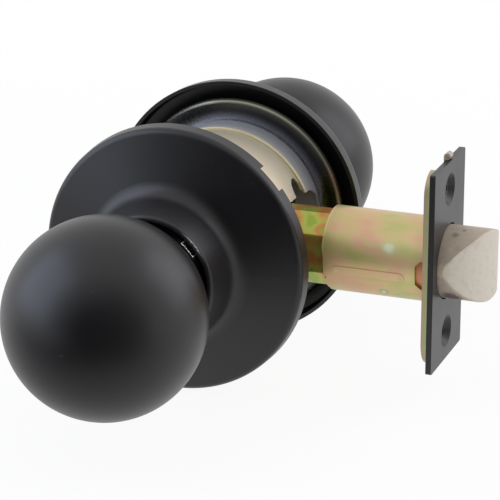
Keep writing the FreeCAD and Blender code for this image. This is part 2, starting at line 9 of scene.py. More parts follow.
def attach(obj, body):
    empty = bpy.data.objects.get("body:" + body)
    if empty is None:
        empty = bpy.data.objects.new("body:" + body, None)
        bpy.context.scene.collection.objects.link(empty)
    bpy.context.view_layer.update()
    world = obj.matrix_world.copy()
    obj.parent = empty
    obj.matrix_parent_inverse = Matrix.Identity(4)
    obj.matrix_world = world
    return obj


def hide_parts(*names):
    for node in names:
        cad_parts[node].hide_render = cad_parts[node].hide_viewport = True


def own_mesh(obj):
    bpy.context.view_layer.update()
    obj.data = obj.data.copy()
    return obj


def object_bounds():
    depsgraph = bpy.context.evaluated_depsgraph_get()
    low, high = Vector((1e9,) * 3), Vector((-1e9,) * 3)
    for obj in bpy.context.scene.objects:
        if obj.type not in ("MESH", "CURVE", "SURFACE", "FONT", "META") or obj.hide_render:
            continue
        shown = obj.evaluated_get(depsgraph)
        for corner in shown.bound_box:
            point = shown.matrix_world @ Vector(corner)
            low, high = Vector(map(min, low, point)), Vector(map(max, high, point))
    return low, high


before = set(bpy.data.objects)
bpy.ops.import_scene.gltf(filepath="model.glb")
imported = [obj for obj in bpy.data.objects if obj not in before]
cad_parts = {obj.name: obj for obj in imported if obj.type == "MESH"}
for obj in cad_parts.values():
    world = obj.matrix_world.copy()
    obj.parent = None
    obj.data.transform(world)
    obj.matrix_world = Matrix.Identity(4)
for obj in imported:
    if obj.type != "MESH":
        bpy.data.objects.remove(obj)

CAD_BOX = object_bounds()

bl_info = {
    "name": "Cylindrical lock finishes",
    "version": (1, 1, 0),
    "blender": (4, 5, 0),
    "location": "3D View > Sidebar > Lock",
    "description": "Finishes, small details and a studio for a cylindrical door lock",
    "category": "Object",
}

# Millimetre in the scene's metres
MM = 0.001
# The sRGB curve: end of its straight part, slope there, and offset and power above it
SRGB_TOE = 0.04045
SRGB_SLOPE = 12.92
SRGB_OFFSET = 0.055
SRGB_POWER = 2.4
# Nearly all of a noise lies between these values
NOISE_RANGE = {"From Min": 0.3, "From Max": 0.7}

# Catch window in the neck of each knob, in metres
NECK_RADIUS = 15.0 * MM
WINDOW_HALF_WIDTH = 2.2 * MM
WINDOW_ANGLE = math.radians(42.3)
WINDOW_END_INSIDE = -42.9 * MM
WINDOW_END_OUTSIDE = 33.8 * MM
CATCH_WAY = Vector((math.cos(WINDOW_ANGLE), 0.0, math.sin(WINDOW_ANGLE)))

# Small spots in the finishes, some of them painted light and shade: centre in mm, full and faded radius
# in mm, colour.
# Two wiped spots with a green edge, and painted highlights at the two ends of the bead, on the front of
# the tube
TUBE_SPOTS_AND_BEAD_HIGHLIGHTS = [
    ((56.9, -10.5, 5.3), 1.0, 3.4, "#c6c58a"), ((56.9, -10.5, 5.3), 0.5, 2.1, "#dcdcbd"),
    ((55.1, -8.6, -8.1), 0.8, 1.9, "#9db05f"), ((55.1, -8.6, -8.1), 0.3, 1.0, "#d5dcdc"),
    ((42.2, -11.5, -2.4), 0.2, 0.8, "#d9b3a0"), ((60.3, -11.5, -2.6), 0.2, 0.8, "#d2aa98"),
]
# Painted highlight line round the long, barely raised bead of the tube, in mm
TUBE_BEAD_HIGHLIGHT = {"centre": (50.9, -11.5, -2.5), "half_length": 8.6, "end_radius": 1.3,
             "half_width": 0.15, "colour": "#cfa686"}
# Painted shade on the walls of the two screw holes of the backing plate
BACKING_HOLE_PAINTED_SHADE = [((68.6, 0.0, height), 2.6, 4.2, "#39393b") for height in (20.64, -20.64)]
# On the bolt: painted shade on the underside, a painted pale patch of light at the heel of the bevel,
# two darker patches on the upper side, a small painted pink glint, and pores of the casting
BOLT_SPOTS_AND_PAINTED_LIGHT = [
    ((73.8, -6.5, -8.4), 1.5, 3.6, "#6b655f"), ((72.2, -10.1, 0.5), 1.2, 3.0, "#d2c5b0"),
    ((73.7, -4.3, 9.2), 0.3, 1.5, "#958a7d"), ((75.6, -2.0, 10.0), 0.2, 0.9, "#978c7f"),
    ((73.5, -8.1, 6.2), 0.3, 1.0, "#c9b4a6"), ((80.9, -5.3, 1.9), 0.05, 0.22, "#6f675d"),
    ((75.6, -6.5, 0.4), 0.05, 0.2, "#776e63"),
]


def linear(colour):
    """Turn an sRGB hex colour, or a property's linear one, into linear red, green, blue and alpha."""
    if not isinstance(colour, str):
        return tuple(colour) + (1.0,)
    channels = [int(colour[start:start + 2], 16) / 255 for start in (1, 3, 5)]
    return tuple(part / SRGB_SLOPE if part <= SRGB_TOE
                 else ((part + SRGB_OFFSET) / (1 + SRGB_OFFSET)) ** SRGB_POWER
                 for part in channels) + (1.0,)


def add_node(tree, kind, inputs=None, ramp=None, **settings):
    """Add a shader node with its settings, values and links, and return it."""
    made = tree.nodes.new(kind)
    for name, value in settings.items():
        setattr(made, name, value)
    for socket, value in (inputs or {}).items():
        if isinstance(value, bpy.types.NodeSocket):
            tree.links.new(value, made.inputs[socket])
        else:
            made.inputs[socket].default_value = value
    if ramp:
        elements = made.color_ramp.elements
        for element, (place, colour) in zip(elements, (ramp[0], ramp[-1])):
            element.position = place
            element.color = linear(colour)
        for place, colour in ramp[1:-1]:
            elements.new(place).color = linear(colour)
    return made


def new_material(name):
    """Start a material with an empty node tree, and return both with its Object coordinates."""
    material = bpy.data.materials.new(name)
    material.use_nodes = True
    tree = material.node_tree
    tree.nodes.clear()
    return material, tree, add_node(tree, "ShaderNodeTexCoord").outputs["Object"]


def dress(nodes, material):
    """Put one material on CAD nodes."""
    for name in nodes:
        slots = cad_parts[name].data.materials
        slots.clear()
        slots.append(material)


def add_piece(context, shape, name, body, material):
    """Make a bmesh a piece of the lock that rides on a body, with the given material."""
    mesh = bpy.data.meshes.new(name)
    shape.to_mesh(mesh)
    shape.free()
    mesh.materials.append(material)
    piece = bpy.data.objects.new(name, mesh)
    context.collection.objects.link(piece)
    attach(piece, body)
    return piece


def satin_black_paint(name, colour, peel_size, roughness):
    """Satin black powder coat on steel: near black, soft broad highlights, a faint orange peel."""
    cloud_size = 14.0 * MM
    cloud_tone = 0.15
    cloud_gloss = 0.02
    dust_size = 0.45 * MM
    dust_colour = "#6d6c6d"
    peel_height = 0.012 * MM
    material, tree, place = new_material(name)
    # Slow cloudiness of a sprayed coat, in tone and in gloss
    cloud = add_node(tree, "ShaderNodeTexNoise", {"Vector": place, "Scale": 1 / cloud_size})
    tone = add_node(tree, "ShaderNodeValToRGB", {"Fac": cloud.outputs["Fac"]},
                    ramp=[(0.3, tuple((1 - cloud_tone) * part for part in colour)),
                          (0.7, tuple((1 + cloud_tone) * part for part in colour))])
    gloss = add_node(tree, "ShaderNodeMapRange",
                     {"Value": cloud.outputs["Fac"], "To Min": roughness - cloud_gloss,
                      "To Max": roughness + cloud_gloss, **NOISE_RANGE})
    # Rare grains of dust under the coat, drawn larger than real ones so that they show
    dust = add_node(tree, "ShaderNodeTexNoise", {"Vector": place, "Scale": 1 / dust_size, "Detail": 0.0})
    speck = add_node(tree, "ShaderNodeMapRange",
                     {"Value": dust.outputs["Fac"], "From Min": 0.85, "From Max": 0.87, "To Max": 0.25})
    dusted = add_node(tree, "ShaderNodeMix",
                      {"Factor": speck.outputs[0], 6: tone.outputs[0], 7: linear(dust_colour)},
                      data_type="RGBA")
    # Orange peel, drawn as a soft bump
    peel = add_node(tree, "ShaderNodeTexNoise", {"Vector": place, "Scale": 1 / peel_size})
    bump = add_node(tree, "ShaderNodeBump",
                    {"Height": peel.outputs["Fac"], "Distance": peel_height, "Strength": 0.2})
    shader = add_node(tree, "ShaderNodeBsdfPrincipled",
                      {"Base Color": dusted.outputs[2], "Roughness": gloss.outputs[0],
                       "Normal": bump.outputs[0], "IOR": 1.5})
    add_node(tree, "ShaderNodeOutputMaterial", {"Surface": shader.outputs[0]})
    return material


def bead_highlight_mask(tree, place, bead):
    """Mask of a painted highlight line round a long bead that is pressed along X: 1 on the line, 0 off
    it.
    """
    half_width = bead["half_width"] * MM
    # Share of the line's half width that is full
    core = 0.4
    from_middle = add_node(tree, "ShaderNodeVectorMath",
                           {0: place, 1: tuple(part * MM for part in bead["centre"])},
                           operation="SUBTRACT")
    size = add_node(tree, "ShaderNodeVectorMath", {0: from_middle.outputs[0]}, operation="ABSOLUTE")
    past_end = add_node(tree, "ShaderNodeVectorMath",
                        {0: size.outputs[0], 1: (bead["half_length"] * MM, 0.0, 0.0)},
                        operation="SUBTRACT")
    clipped = add_node(tree, "ShaderNodeVectorMath", {0: past_end.outputs[0], 1: (0.0, 0.0, 0.0)},
                       operation="MAXIMUM")
    flat = add_node(tree, "ShaderNodeVectorMath", {0: clipped.outputs[0], 1: (1.0, 0.0, 1.0)},
                    operation="MULTIPLY")
    away = add_node(tree, "ShaderNodeVectorMath", {0: flat.outputs[0]}, operation="LENGTH")
    off = add_node(tree, "ShaderNodeMath", {0: away.outputs["Value"], 1: bead["end_radius"] * MM},
                   operation="SUBTRACT")
    gap = add_node(tree, "ShaderNodeMath", {0: off.outputs[0]}, operation="ABSOLUTE")
    return add_node(tree, "ShaderNodeMapRange",
                    {"Value": gap.outputs[0], "From Min": core * half_width,
                     "From Max": half_width, "To Min": 1.0, "To Max": 0.0}).outputs[0]


def plated_steel(name, hues, patch_size, roughness, metallic, patch_stretch=(1.0, 1.0, 1.0),
                 lines_mm=0.5, stretch=(1.0, 1.0, 1.0), strength=0.1, drift=None,
                 span_mm=(0.0, 1.0), axis="X", share=0.0, spots_and_painted_light=(), bead=None):
    """Plated steel under a thin clear film whose thickness drifts, so its tint drifts too.

    hues are the tints of the film from thin to thick, in patches. drift adds tints over span_mm
    along an axis of the lock, or outwards from the knob axis with R and from the latch axis with Q,
    and share is how much of them shows; on several pieces these tints are painted light and shade.
    spots_and_painted_light are small spots, some of them painted light and shade, and bead is a
    painted highlight line round a bead.
    lines_mm, stretch and strength are the width, drawing out and height of the tool's lines."""
    gloss_below, gloss_above = 0.03, 0.04
    line_height = 0.01 * MM
    # Ragged edge of a mark: from tooth to tooth, and depth as a share of its radius
    tooth_size = 1.2 * MM
    ragged = 0.8
    material, tree, place = new_material(name)
    stretched = add_node(tree, "ShaderNodeMapping",
                         {"Vector": place, "Scale": tuple(1 / part for part in patch_stretch)})
    film = add_node(tree, "ShaderNodeTexNoise",
                    {"Vector": stretched.outputs[0], "Scale": 1 / patch_size, "Detail": 1.5,
                     "Roughness": 0.45})
    spread = add_node(tree, "ShaderNodeMapRange", {"Value": film.outputs["Fac"], **NOISE_RANGE})
    colour = add_node(tree, "ShaderNodeValToRGB", {"Fac": spread.outputs[0]}, ramp=hues).outputs[0]
    if drift:
        if axis in ("R", "Q"):
            across = {"R": (1.0, 0.0, 1.0), "Q": (0.0, 1.0, 1.0)}[axis]
            level = add_node(tree, "ShaderNodeVectorMath", {0: place, 1: across},
                             operation="MULTIPLY")
            along = add_node(tree, "ShaderNodeVectorMath", {0: level.outputs[0]},
                             operation="LENGTH").outputs["Value"]
        else:
            along = add_node(tree, "ShaderNodeSeparateXYZ", {"Vector": place}).outputs[axis]
        share_of_span = add_node(tree, "ShaderNodeMapRange",
                                 {"Value": along, "From Min": span_mm[0] * MM,
                                  "From Max": span_mm[1] * MM})
        tint = add_node(tree, "ShaderNodeValToRGB", {"Fac": share_of_span.outputs[0]}, ramp=drift)
        colour = add_node(tree, "ShaderNodeMix", {"Factor": share, 6: colour, 7: tint.outputs[0]},
                          data_type="RGBA").outputs[2]
    for centre, full_mm, faded_mm, hue in spots_and_painted_light:
        away = add_node(tree, "ShaderNodeVectorMath",
                        {0: place, 1: tuple(part * MM for part in centre)}, operation="DISTANCE")
        wobble = add_node(tree, "ShaderNodeTexNoise", {"Vector": place, "Scale": 1 / tooth_size})
        reach = add_node(tree, "ShaderNodeMath",
                         {0: wobble.outputs["Fac"], 1: ragged * faded_mm * MM, 2: away.outputs["Value"]},
                         operation="MULTIPLY_ADD")
        spot = add_node(tree, "ShaderNodeMapRange",
                        {"Value": reach.outputs[0], "To Min": 1.0, "To Max": 0.0,
                         "From Min": (full_mm + ragged / 2 * faded_mm) * MM,
                         "From Max": (faded_mm + ragged / 2 * faded_mm) * MM},
                        interpolation_type="SMOOTHSTEP")
        colour = add_node(tree, "ShaderNodeMix", {"Factor": spot.outputs[0], 6: colour, 7: linear(hue)},
                          data_type="RGBA").outputs[2]
    if bead:
        # Painted highlight line along the edge of the bead
        line = bead_highlight_mask(tree, place, bead)
        colour = add_node(tree, "ShaderNodeMix",
                          {"Factor": line, 6: colour, 7: linear(bead["colour"])},
                          data_type="RGBA").outputs[2]
    # Lines of drawing, rolling or turning: real ones are hundredths of a millimetre apart, and they
    # are drawn at lines_mm so that they show
    drawn = add_node(tree, "ShaderNodeMapping",
                     {"Vector": place, "Scale": tuple(1 / part for part in stretch)})
    lines = add_node(tree, "ShaderNodeTexNoise",
                     {"Vector": drawn.outputs[0], "Scale": 1 / (lines_mm * MM), "Detail": 1.0})
    gloss = add_node(tree, "ShaderNodeMapRange",
                     {"Value": lines.outputs["Fac"], "To Min": roughness - gloss_below,
                      "To Max": roughness + gloss_above, **NOISE_RANGE})
    bump = add_node(tree, "ShaderNodeBump",
                    {"Height": lines.outputs["Fac"], "Distance": line_height, "Strength": strength})
    shader = add_node(tree, "ShaderNodeBsdfPrincipled",
                      {"Base Color": colour, "Roughness": gloss.outputs[0], "Normal": bump.outputs[0],
                       "Metallic": metallic})
    add_node(tree, "ShaderNodeOutputMaterial", {"Surface": shader.outputs[0]})
    return material


def colour_property(name, description, hex_colour):
    """A colour that a user of the add-on can change."""
    return bpy.props.FloatVectorProperty(name=name, description=description, subtype="COLOR", size=3,
                                         min=0.0, max=1.0, default=linear(hex_colour)[:3])


def size_property(name, description, size_mm, largest_mm):
    """A length that a user of the add-on can change."""
    return bpy.props.FloatProperty(name=name, description=description, subtype="DISTANCE",
                                   unit="LENGTH", min=0.05 * MM, max=largest_mm * MM,
                                   default=size_mm * MM, precision=5)


def share_property(name, description, default):
    """A share from 0 to 1 that a user of the add-on can change."""
    return bpy.props.FloatProperty(name=name, description=description, subtype="FACTOR", min=0.05,
                                   max=1.0, default=default)


def power_property(name, description, default):
    """The power of a lamp that a user of the add-on can change."""
    return bpy.props.FloatProperty(name=name, description=description, subtype="POWER", unit="POWER",
                                   min=0.0, default=default)


class LockFinish(bpy.types.PropertyGroup):
    """Colours, pattern sizes and roughness of the finishes."""
    paint_colour: colour_property("Paint", "Colour of the satin black paint", "#100f12")
    faceplate_colour: colour_property("Faceplate paint", "Colour of the thin paint of the faceplate",
                                      "#1b1a1c")
    drum_colour: colour_property("Drum", "Colour of the yellow zinc in the middle of the drum",
                                 "#e6d7bf")
    # Painted bluish reflection on the rear of the drum
    drum_rear_reflection_colour: colour_property("Drum rear", "Colour of the bluish zinc on the rear of the drum",
                                      "#97999f")
    # Yellow chromate of the rolled seam edge, painted brighter as a highlight
    seam_edge_and_highlight_colour: colour_property("Seam", "Colour of the rolled edge at the seam of the drum",
                                 "#d8cb9c")
    rose_plate_colour: colour_property("Rose plate", "Colour of the dark zinc on the rose plates",
                                       "#414247")
    tube_colour: colour_property("Tube", "Main colour of the yellow zinc on the latch tube", "#cdb37f")
    tube_green: colour_property("Tube green", "Greenest patches of the latch tube", "#9db35a")
    tube_pink: colour_property("Tube pink", "Pinkest patches of the latch tube", "#d49a86")
    case_green: colour_property("Case green", "Greenest patches of the latch case", "#8fa33a")
    case_orange: colour_property("Case orange", "Most orange patches of the latch case", "#c27a42")
    backing_colour: colour_property("Backing plate", "Main colour of the backing plate", "#d0ac9c")
    bolt_colour: colour_property("Bolt", "Colour of the nickel on the ground bevel of the bolt",
                                 "#d6cec1")
    bolt_side_colour: colour_property("Bolt side", "Colour of the nickel on the cast side of the bolt",
                                      "#b7a795")
    spring_colour: colour_property("Springs", "Colour of the bare spring steel", "#a3a3a4")
    peel_size: size_property("Orange peel", "Size of the orange peel in the paint", 0.5, 5.0)
    tube_patch: size_property("Tube patches", "Size of the patches of colour on the tube", 6.2, 40.0)
    case_patch: size_property("Case patches", "Size of the patches of colour on the case", 6.0, 40.0)
    edge_width: size_property("Window edge", "Width of the bare sheared edge of the catch window",
                              0.34, 1.0)
    edge_return: size_property("Window edge returns", "Length of the edge along the window's sides",
                               3.0, 4.8)
    paint_roughness: share_property("Paint roughness", "Roughness of the satin black paint", 0.37)
    drum_roughness: share_property("Drum roughness", "Roughness of the plated drum", 0.34)
    latch_roughness: share_property("Latch roughness", "Roughness of the plated tube and plate", 0.36)
    case_roughness: share_property("Case roughness", "Roughness of the plated latch case", 0.3)
    bolt_roughness: share_property("Bolt roughness", "Roughness of the nickel plated bolt", 0.5)


class LockStudio(bpy.types.PropertyGroup):
    """Camera, lamps and floor."""
    lens: bpy.props.FloatProperty(
        name="Lens", description="Focal length of the camera in millimetres on a 36 mm sensor",
        default=189.07, min=20.0, max=600.0, unit="CAMERA")
    left_power: power_property("Left lamp", "Power of the broad lamp on the left", 1.5)
    right_power: power_property("Right lamp", "Power of the broad lamp on the right", 1.0)
    snoot_power: power_property("Snoot", "Power of the narrow lamp on the inside catch window", 9.0)
    left_colour: colour_property("Left lamp colour", "Colour of the broad lamp on the left", "#d3e0ff")
    right_colour: colour_property("Right lamp colour", "Colour of the broad lamp on the right",
                                  "#f6f1ff")
    fill: bpy.props.FloatProperty(
        name="Fill", description="Strength of the white surroundings on matt surfaces",
        default=0.75, min=0.0, max=2.0)
    floor_radius: bpy.props.FloatProperty(
        name="Floor radius", description="Radius of the pale floor",
        default=0.42, min=0.1, max=5.0, subtype="DISTANCE", unit="LENGTH")


class LOCK_OT_painted(bpy.types.Operator):
    """Finish the knobs, roses and faceplate in satin black paint"""
    bl_idname = "lock.painted"
    bl_label = "Painted pieces"

    def execute(self, context):
        finish = context.scene.lock_finish
        # Powder coat on drawn steel: deep black that shows only as soft grey lights on the curves
        drawn = satin_black_paint("Satin black powder coat", finish.paint_colour, finish.peel_size,
                                  finish.paint_roughness)
        dress(["inside_knob", "outside_knob", "inside_rose", "outside_rose"], drawn)
        # Thinner coat on the flat plate: a lighter, greyer black, and a finer peel by this share
        finer = 0.7
        plate = satin_black_paint("Satin black powder coat, thin", finish.faceplate_colour,
                                  finer * finish.peel_size, finish.paint_roughness)
        dress(["faceplate"], plate)
        return {"FINISHED"}


class LOCK_OT_yellow_zinc(bpy.types.Operator):
    """Finish the drum, latch tube, latch case and backing plate in yellow zinc"""
    bl_idname = "lock.yellow_zinc"
    bl_label = "Yellow zinc pieces"

    def execute(self, context):
        finish = context.scene.lock_finish
        # Thin chromate on the turned drum: pale straw that leans to pink, painted greyer towards the
        # rear seam as a painted reflection
        drum = plated_steel(
            "Yellow zinc on the turned drum",
            [(0.0, "#d3c8a4"), (0.4, "#ddd2b6"), (0.7, "#e0cab4"), (1.0, "#dbc5ba")],
            patch_size=18.0 * MM, roughness=finish.drum_roughness, metallic=0.5,
            stretch=(12.0, 0.35, 12.0),
            drift=[(0.0, "#d8ca9f"), (0.55, finish.drum_colour), (0.8, "#d6ccb6"), (1.0, "#cbc5b0")],
            span_mm=(-16.0, 12.0), axis="Y", share=0.7)
        dress(["front_housing", "chassis_frame"], drum)
        # Behind the seam the drum is painted blue grey as a painted reflection; the rolled edge at the
        # seam is its yellow chromate painted brighter as a highlight
        rear = plated_steel(
            "Bluish zinc on the turned rear of the drum",
            [(0.0, "#8f929a"), (0.5, "#9c9ea8"), (1.0, "#979699")],
            patch_size=14.0 * MM, roughness=finish.drum_roughness, metallic=0.2,
            stretch=(12.0, 0.35, 12.0),
            drift=[(0.0, finish.seam_edge_and_highlight_colour), (0.07, finish.seam_edge_and_highlight_colour), (0.12, "#c6c3b2"),
                   (0.4, "#a8a8a6"), (1.0, finish.drum_rear_reflection_colour)],
            span_mm=(12.9, 17.9), axis="Y", share=0.85)
        dress(["rear_housing"], rear)
        # Thick chromate on drawn steel: gold with green and pink patches, a pale rim and a darker olive
        # band at the left end, painted brown shade where it meets the plate, and a painted highlight
        # round the bead
        tube = plated_steel(
            "Yellow zinc on the drawn tube",
            [(0.0, finish.tube_green), (0.28, "#bdb873"), (0.5, finish.tube_colour), (0.7, "#d2ab86"),
             (0.9, finish.tube_pink), (1.0, "#c2b57a")],
            patch_size=finish.tube_patch, roughness=finish.latch_roughness, metallic=0.45,
            patch_stretch=(1.7, 1.0, 1.0), stretch=(30.0, 0.6, 0.6), strength=0.05,
            drift=[(0.0, "#cfc38a"), (0.012, "#cfc38a"), (0.02, "#9c9655"), (0.14, "#c9b47e"),
                   (0.5, "#dcbd8e"), (0.85, "#e2d39a"), (0.96, "#cfc98a"), (0.99, "#a8743c"),
                   (1.0, "#5f4320")],
            span_mm=(37.8, 67.5), axis="X", share=0.35, spots_and_painted_light=TUBE_SPOTS_AND_BEAD_HIGHLIGHTS, bead=TUBE_BEAD_HIGHLIGHT)
        dress(["latch_tube"], tube)
        # The same chromate on folded strip, smoother: green and orange that mirror what is near
        case = plated_steel(
            "Yellow zinc on the pressed case",
            [(0.0, finish.case_green), (0.25, "#a9b050"), (0.5, "#b59a48"), (0.7, finish.case_orange),
             (1.0, "#8aa445")],
            patch_size=finish.case_patch, roughness=finish.case_roughness, metallic=0.62,
            lines_mm=2.0, strength=0.02)
        dress(["latch_case"], case)
        # Blanked plate: orange inside the window, pink, green and grey bands over its sheared edge, and
        # painted shade in its screw holes
        backing = plated_steel(
            "Yellow zinc on the blanked plate",
            [(0.0, "#c7a49a"), (0.5, finish.backing_colour), (1.0, "#b9b48a")],
            patch_size=8.0 * MM, roughness=finish.latch_roughness, metallic=0.5,
            drift=[(0.0, "#c9803e"), (0.3, "#c9803e"), (0.34, "#b48d88"), (0.46, "#a9a27c"),
                   (0.54, "#8fae5c"), (0.66, "#a9b885"), (0.72, "#cdaca2"), (0.78, "#a8a69c"),
                   (1.0, "#a8a69c")],
            span_mm=(66.0, 70.5), axis="X", share=0.75, spots_and_painted_light=BACKING_HOLE_PAINTED_SHADE)
        dress(["backing_plate"], backing)
        return {"FINISHED"}


class LOCK_OT_clear_zinc(bpy.types.Operator):
    """Finish the plates, hubs, spindles and small steel pieces in clear zinc"""
    bl_idname = "lock.clear_zinc"
    bl_label = "Clear zinc pieces"

    def execute(self, context):
        finish = context.scene.lock_finish
        # Dark passivate on smooth plate, nearly black, with a painted pale reflection of the drum round
        # its middle and a painted highlight on its rim
        rolled = plated_steel(
            "Dark passivated zinc on rolled plate",
            [(0.0, "#3f4146"), (0.5, "#48494d"), (1.0, "#434449")],
            patch_size=20.0 * MM, roughness=0.24, metallic=1.0, strength=0.02,
            drift=[(0.0, "#d0d2d6"), (0.185, "#a9abb2"), (0.4, "#5c5d62"),
                   (0.5, finish.rose_plate_colour), (0.6, finish.rose_plate_colour),
                   (0.86, "#5f605c"), (0.895, "#9c9a86"), (0.92, "#8a8873"), (0.95, "#3f3f3b")],
            span_mm=(26.0, 32.5), axis="R", share=0.92)
        dress(["inside_rose_plate", "outside_rose_plate"], rolled)
        # Clear zinc on turned steel: cool grey with fine rings round the knob axis
        turned = plated_steel(
            "Clear zinc on turned steel",
            [(0.0, "#a6abb0"), (0.5, "#b4b8ba"), (1.0, "#a9a99c")],
            patch_size=9.0 * MM, roughness=0.3, metallic=0.9, stretch=(10.0, 0.4, 10.0))
        dress(["inside_hub", "outside_hub", "inside_hub_nut", "outside_hub_nut", "inside_spindle",
               "outside_spindle", "inside_knob_insert", "outside_knob_insert", "mounting_screws"],
              turned)
        # Clear zinc on pressed steel: a little duller, with lines along the latch
        pressed = plated_steel(
            "Clear zinc on pressed steel",
            [(0.0, "#9fa5a8"), (0.5, "#b0b2ae"), (1.0, "#a4a08c")],
            patch_size=6.0 * MM, roughness=0.34, metallic=0.85, stretch=(6.0, 1.0, 1.0))
        dress(["retractor", "latch_tail", "latch_spring_seat"], pressed)
        return {"FINISHED"}


class LOCK_OT_bolt(bpy.types.Operator):
    """Finish the latch bolt in satin nickel"""
    bl_idname = "lock.bolt"
    bl_label = "Latch bolt"

    def execute(self, context):
        finish = context.scene.lock_finish
        # Satin nickel on a casting: warm pale grey on the ground bevel, mottled brown on the side, with
        # the painted shade, light and glint of its spots
        nickel = plated_steel(
            "Satin nickel on the cast bolt",
            [(0.0, "#b3a796"), (0.3, "#cbc3b6"), (0.6, "#d3cbbe"), (0.85, "#cfc2b1"), (1.0, "#bfb1a1")],
            patch_size=2.2 * MM, roughness=finish.bolt_roughness, metallic=0.45, lines_mm=0.35,
            drift=[(0.0, finish.bolt_colour), (0.5, finish.bolt_colour),
                   (0.8, finish.bolt_side_colour), (1.0, finish.bolt_side_colour)],
            span_mm=(9.6, 10.2), axis="Q", share=0.75, spots_and_painted_light=BOLT_SPOTS_AND_PAINTED_LIGHT)
        dress(["latch_bolt"], nickel)
        return {"FINISHED"}


class LOCK_OT_window_edges(bpy.types.Operator):
    """Add the bare sheared edge at the ball's end of each catch window"""
    bl_idname = "lock.window_edges"
    bl_label = "Window edges"

    # Depth of the bar below the neck's surface and its height above it
    sunk = 0.25 * MM
    proud = 0.05 * MM
    arc_steps = 10

    def add_edge(self, context, body, window_end, way, steel):
        """Lay a narrow bent bar round the end of a window: an arc and two short returns."""
        width = context.scene.lock_finish.edge_width
        back = context.scene.lock_finish.edge_return
        shape = bmesh.new()
        half_turn = math.asin((WINDOW_HALF_WIDTH + width) / NECK_RADIUS)
        middle = NECK_RADIUS + (self.proud - self.sunk) / 2
        depth = self.proud + self.sunk
        # A unit square on the neck's surface, scaled to the bar's profile and spun over the arc
        profile = bmesh.ops.create_grid(shape, x_segments=1, y_segments=1, size=0.5)["verts"]
        bmesh.ops.scale(shape, verts=profile, vec=(depth, width, 1.0))
        bmesh.ops.translate(shape, verts=profile, vec=(middle, window_end + way * width / 2, 0.0))
        bmesh.ops.rotate(shape, verts=profile, cent=(0, 0, 0),
                         matrix=Matrix.Rotation(-half_turn, 3, "Y"))
        bmesh.ops.spin(shape, geom=shape.faces[:], cent=(0, 0, 0), axis=(0, 1, 0),
                       angle=2 * half_turn, steps=self.arc_steps, use_merge=False)
        # A return along each side of the window
        to_side = half_turn - width / NECK_RADIUS / 2
        for side in (-1, 1):
            bar = bmesh.ops.create_cube(shape, size=1.0)["verts"]
            bmesh.ops.scale(shape, verts=bar, vec=(depth, back, width))
            bmesh.ops.translate(shape, verts=bar, vec=(middle, window_end - way * back / 2, 0.0))
            bmesh.ops.rotate(shape, verts=bar, cent=(0, 0, 0),
                             matrix=Matrix.Rotation(side * to_side, 3, "Y"))
        bmesh.ops.rotate(shape, verts=shape.verts, cent=(0, 0, 0),
                         matrix=Matrix.Rotation(-WINDOW_ANGLE, 3, "Y"))
        bmesh.ops.recalc_face_normals(shape, faces=shape.faces)
        add_piece(context, shape, body + "_window_edge", body, steel)

    def execute(self, context):
        # Bare steel where the die sheared the painted neck: a bright warm white line
        steel = plated_steel("Bare sheared steel", [(0.0, "#d3d1cb"), (1.0, "#e2e0da")],
                             patch_size=2.0 * MM, roughness=0.4, metallic=0.3)
        self.add_edge(context, "inside_knob", WINDOW_END_INSIDE, -1, steel)
        self.add_edge(context, "outside_knob", WINDOW_END_OUTSIDE, 1, steel)
        return {"FINISHED"}


class LOCK_OT_springs(bpy.types.Operator):
    """Finish the catches, and stand copies of the springs in for the CAD ones"""
    bl_idname = "lock.springs"
    bl_label = "Springs and catches"

    merge_distance = 0.001 * MM
    # Left free between a pressed spring and the piece that presses it
    room = 0.05 * MM

    def add_spring(self, context, name, node, body, joint, way, steel):
        """Copy a spring into a piece of its own on its body, and hide the CAD node."""
        shape = bmesh.new()
        shape.from_mesh(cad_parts[node].data)
        bmesh.ops.remove_doubles(shape, verts=shape.verts, dist=self.merge_distance)
        bmesh.ops.recalc_face_normals(shape, faces=shape.faces)
        spring = add_piece(context, shape, name, body, steel)
        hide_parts(node)
        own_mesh(spring)

    def execute(self, context):
        finish = context.scene.lock_finish
        # Bare drawn wire and strip: cool mid grey with a clean metal gleam
        steel = plated_steel(
            "Bare spring steel",
            [(0.0, "#8b8c90"), (0.5, finish.spring_colour), (1.0, "#96938c")],
            patch_size=3.0 * MM, roughness=0.28, metallic=1.0)
        along_latch = Vector((1.0, 0.0, 0.0))
        self.add_spring(context, "latch_coil", "latch_spring", "chassis", "bolt_slide", along_latch,
                        steel)
        self.add_spring(context, "retractor_coils", "retractor_springs", "chassis",
                        "retractor_slide", along_latch, steel)
        for side in ("inside", "outside"):
            self.add_spring(context, side + "_catch_leaf", side + "_catch_spring", side + "_knob",
                            side + "_catch_press", CATCH_WAY, steel)
        # Catches painted near black as painted shade, so the window reads as a dark slot
        catch_shade_black = plated_steel("Steel painted black for the shade in the catch window", [(0.0, "#17171a"), (1.0, "#222225")],
                                 patch_size=3.0 * MM, roughness=0.4, metallic=0.6)
        dress(["inside_catch", "outside_catch"], catch_shade_black)
        return {"FINISHED"}


